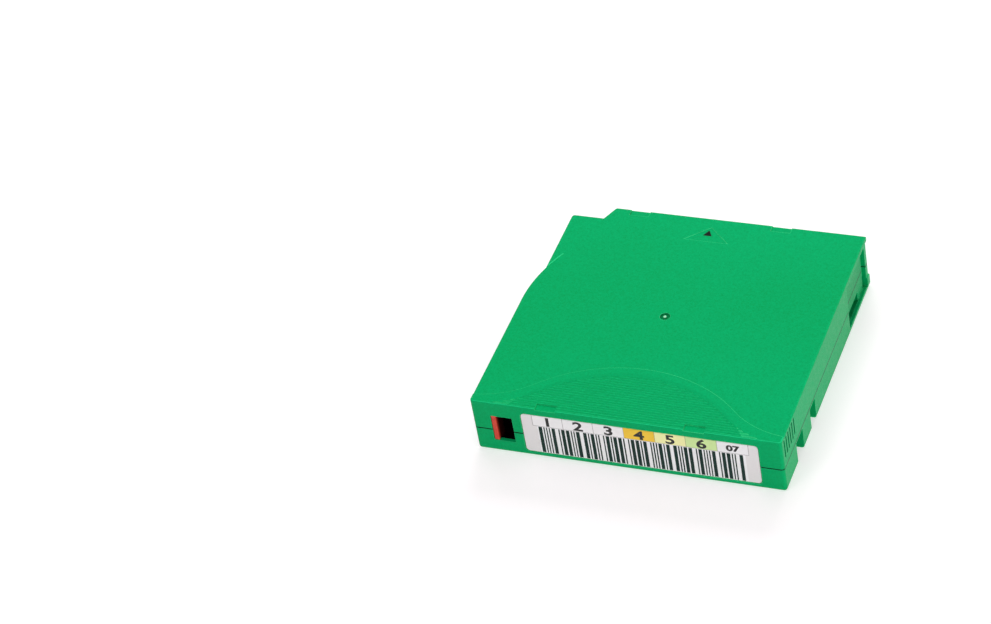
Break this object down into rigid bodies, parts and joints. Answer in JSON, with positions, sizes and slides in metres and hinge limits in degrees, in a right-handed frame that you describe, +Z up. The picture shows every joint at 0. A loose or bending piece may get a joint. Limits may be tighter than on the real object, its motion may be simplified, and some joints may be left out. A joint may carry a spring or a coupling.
{
  "type": "data tape cartridge",
  "caption": "Flat square single-reel data tape cartridge with a sliding side door, write-protect slider, brake and leader pin.",
  "frame": {"origin": "centre of the bottom of the case's box", "axes": "+Z up out of the top, +Y towards the end that goes into the drive, +X towards the side with the access door; the label faces -Y"},
  "size_m": [0.1054, 0.102, 0.0215],
  "materials": {
    "case_green": "fine spark-textured, satin",
    "door_green": "satin",
    "slider_red": "satin",
    "hub_plastic": "satin",
    "reel_plastic": "satin",
    "brake_plastic": "satin",
    "release_plastic": "satin",
    "tape": "polished edge",
    "plate_steel": "brushed",
    "spring_steel": "bright",
    "pin_steel": "ground",
    "clip_plastic": "satin",
    "screw_steel": "blackened",
    "chip": "matt",
    "label_paper": "coated paper"
  },
  "bodies": {
    "case": {"upper_shell": "case_green", "lower_shell": "case_green", "label": "label_paper", "memory_chip": "chip", "leader_pin": "pin_steel", "pin_clip": "clip_plastic", "pin_spring": "spring_steel", "tape_leader": "tape", "brake_spring": "spring_steel", "door_spring": "spring_steel", "screw_front_left": "screw_steel", "screw_front_right": "screw_steel", "screw_rear_left": "screw_steel", "screw_rear_right": "screw_steel"},
    "reel": {"reel_hub": "hub_plastic", "reel_top_flange": "reel_plastic", "reel_plate": "plate_steel", "tape_pack": "tape"},
    "brake": {"brake_button": "brake_plastic"},
    "release": {"release_plate": "release_plastic"},
    "door": {"access_door": "door_green"},
    "write_protect": {"write_protect_slider": "slider_red"}
  },
  "joints": [
    {"name": "reel_spin", "type": "hinge", "parent": "case", "child": "reel", "pos_m": [-0.00195, 0, 0], "axis": [0, 0, 1], "continuous": true},
    {"name": "brake_lift", "type": "slide", "parent": "case", "child": "brake", "axis": [0, 0, 1], "range_m": [0, 0.002], "stiffness_N_per_m": 800, "springref_m": -0.004, "deforming": ["brake_spring"]},
    {"name": "release_lift", "type": "slide", "parent": "reel", "child": "release", "axis": [0, 0, 1], "range_m": [0, 0.002]},
    {"name": "door_slide", "type": "slide", "parent": "case", "child": "door", "axis": [0, -1, 0], "range_m": [0, 0.02], "stiffness_N_per_m": 60, "springref_m": -0.01, "deforming": ["door_spring"]},
    {"name": "write_protect_slide", "type": "slide", "parent": "case", "child": "write_protect", "axis": [1, 0, 0], "range_m": [0, 0.0055]}
  ],
  "couplings": [
    {"joint": "release_lift", "follows": "brake_lift", "ratio": 1}
  ]
}
